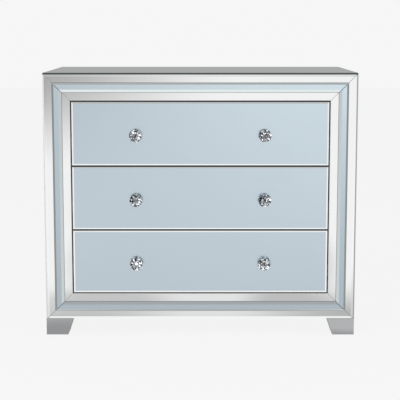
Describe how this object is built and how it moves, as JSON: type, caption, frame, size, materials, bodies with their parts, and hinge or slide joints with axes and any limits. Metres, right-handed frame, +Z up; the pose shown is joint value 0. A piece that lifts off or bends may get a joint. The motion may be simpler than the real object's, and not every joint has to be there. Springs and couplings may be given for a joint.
{
  "type": "mirrored chest of drawers",
  "caption": "Mirror-clad chest of drawers with a raised bevelled frame, faceted crystal knobs and tapered block feet; its drawers slide out on ball-bearing runners to hold clothes or linen.",
  "frame": {"origin": "on the floor under the middle of the whole chest, knobs included", "axes": "+Z up, the front with the drawers faces -Y, +X to the right as seen from the front"},
  "size_m": [0.914, 0.532, 0.777],
  "materials": {
    "silver_mirror": "silvered glass",
    "blue_mirror": "pale-blue silvered glass with bevelled edges",
    "crystal": "cut and polished crystal",
    "knob_chrome": "polished plating",
    "runner_steel": "zinc-plated sheet steel",
    "screw_steel": "zinc-plated",
    "case_board": "fibreboard, silver-grey lacquer",
    "back_board": "grey-faced hardboard",
    "drawer_board": "fibreboard, dark-grey lacquer",
    "drawer_ply": "clear-lacquered birch",
    "foot_wood": "silver-grey lacquer",
    "glide_nylon": "moulded nylon"
  },
  "bodies": {
    "case": {"side_panel_left": "case_board", "side_panel_right": "case_board", "top_panel": "case_board", "bottom_panel": "case_board", "back_panel": "back_board", "runner_panel_left": "case_board", "runner_panel_right": "case_board", "drawer_rails": "case_board", "face_frame_rails": "case_board", "face_frame_stiles": "case_board", "outer_mirror_top": "silver_mirror", "outer_mirror_bottom": "silver_mirror", "outer_mirror_left": "silver_mirror", "outer_mirror_right": "silver_mirror", "raised_mirror_top": "blue_mirror", "raised_mirror_bottom": "blue_mirror", "raised_mirror_left": "blue_mirror", "raised_mirror_right": "blue_mirror", "inner_mirror_top": "silver_mirror", "inner_mirror_bottom": "silver_mirror", "inner_mirror_left": "silver_mirror", "inner_mirror_right": "silver_mirror", "top_mirror": "silver_mirror", "side_mirror_left": "silver_mirror", "side_mirror_right": "silver_mirror", "foot_mirrors": "silver_mirror", "foot_front_left": "foot_wood", "foot_front_right": "foot_wood", "foot_rear_left": "foot_wood", "foot_rear_right": "foot_wood", "foot_glides": "glide_nylon", "runner_outers": "runner_steel", "case_screws": "screw_steel"},
    "lower_drawer": {"lower_drawer_front": "drawer_board", "lower_drawer_mirror": "blue_mirror", "lower_drawer_sides": "drawer_ply", "lower_drawer_back": "drawer_ply", "lower_drawer_bottom": "drawer_ply", "lower_drawer_knobs": "crystal", "lower_drawer_fittings": "knob_chrome", "lower_drawer_runners": "runner_steel"},
    "lower_cages": {"lower_ball_cages": "runner_steel"},
    "middle_drawer": {"middle_drawer_front": "drawer_board", "middle_drawer_mirror": "blue_mirror", "middle_drawer_sides": "drawer_ply", "middle_drawer_back": "drawer_ply", "middle_drawer_bottom": "drawer_ply", "middle_drawer_knobs": "crystal", "middle_drawer_fittings": "knob_chrome", "middle_drawer_runners": "runner_steel"},
    "middle_cages": {"middle_ball_cages": "runner_steel"},
    "upper_drawer": {"upper_drawer_front": "drawer_board", "upper_drawer_mirror": "blue_mirror", "upper_drawer_sides": "drawer_ply", "upper_drawer_back": "drawer_ply", "upper_drawer_bottom": "drawer_ply", "upper_drawer_knobs": "crystal", "upper_drawer_fittings": "knob_chrome", "upper_drawer_runners": "runner_steel"},
    "upper_cages": {"upper_ball_cages": "runner_steel"}
  },
  "joints": [
    {"name": "lower_drawer_slide", "type": "slide", "parent": "case", "child": "lower_drawer", "axis": [0, -1, 0], "range_m": [0, 0.33]},
    {"name": "lower_cage_slide", "type": "slide", "parent": "case", "child": "lower_cages", "axis": [0, -1, 0], "range_m": [0, 0.165]},
    {"name": "middle_drawer_slide", "type": "slide", "parent": "case", "child": "middle_drawer", "axis": [0, -1, 0], "range_m": [0, 0.33]},
    {"name": "middle_cage_slide", "type": "slide", "parent": "case", "child": "middle_cages", "axis": [0, -1, 0], "range_m": [0, 0.165]},
    {"name": "upper_drawer_slide", "type": "slide", "parent": "case", "child": "upper_drawer", "axis": [0, -1, 0], "range_m": [0, 0.33]},
    {"name": "upper_cage_slide", "type": "slide", "parent": "case", "child": "upper_cages", "axis": [0, -1, 0], "range_m": [0, 0.165]}
  ],
  "couplings": [
    {"joint": "lower_cage_slide", "follows": "lower_drawer_slide", "ratio": 0.5},
    {"joint": "middle_cage_slide", "follows": "middle_drawer_slide", "ratio": 0.5},
    {"joint": "upper_cage_slide", "follows": "upper_drawer_slide", "ratio": 0.5}
  ]
}
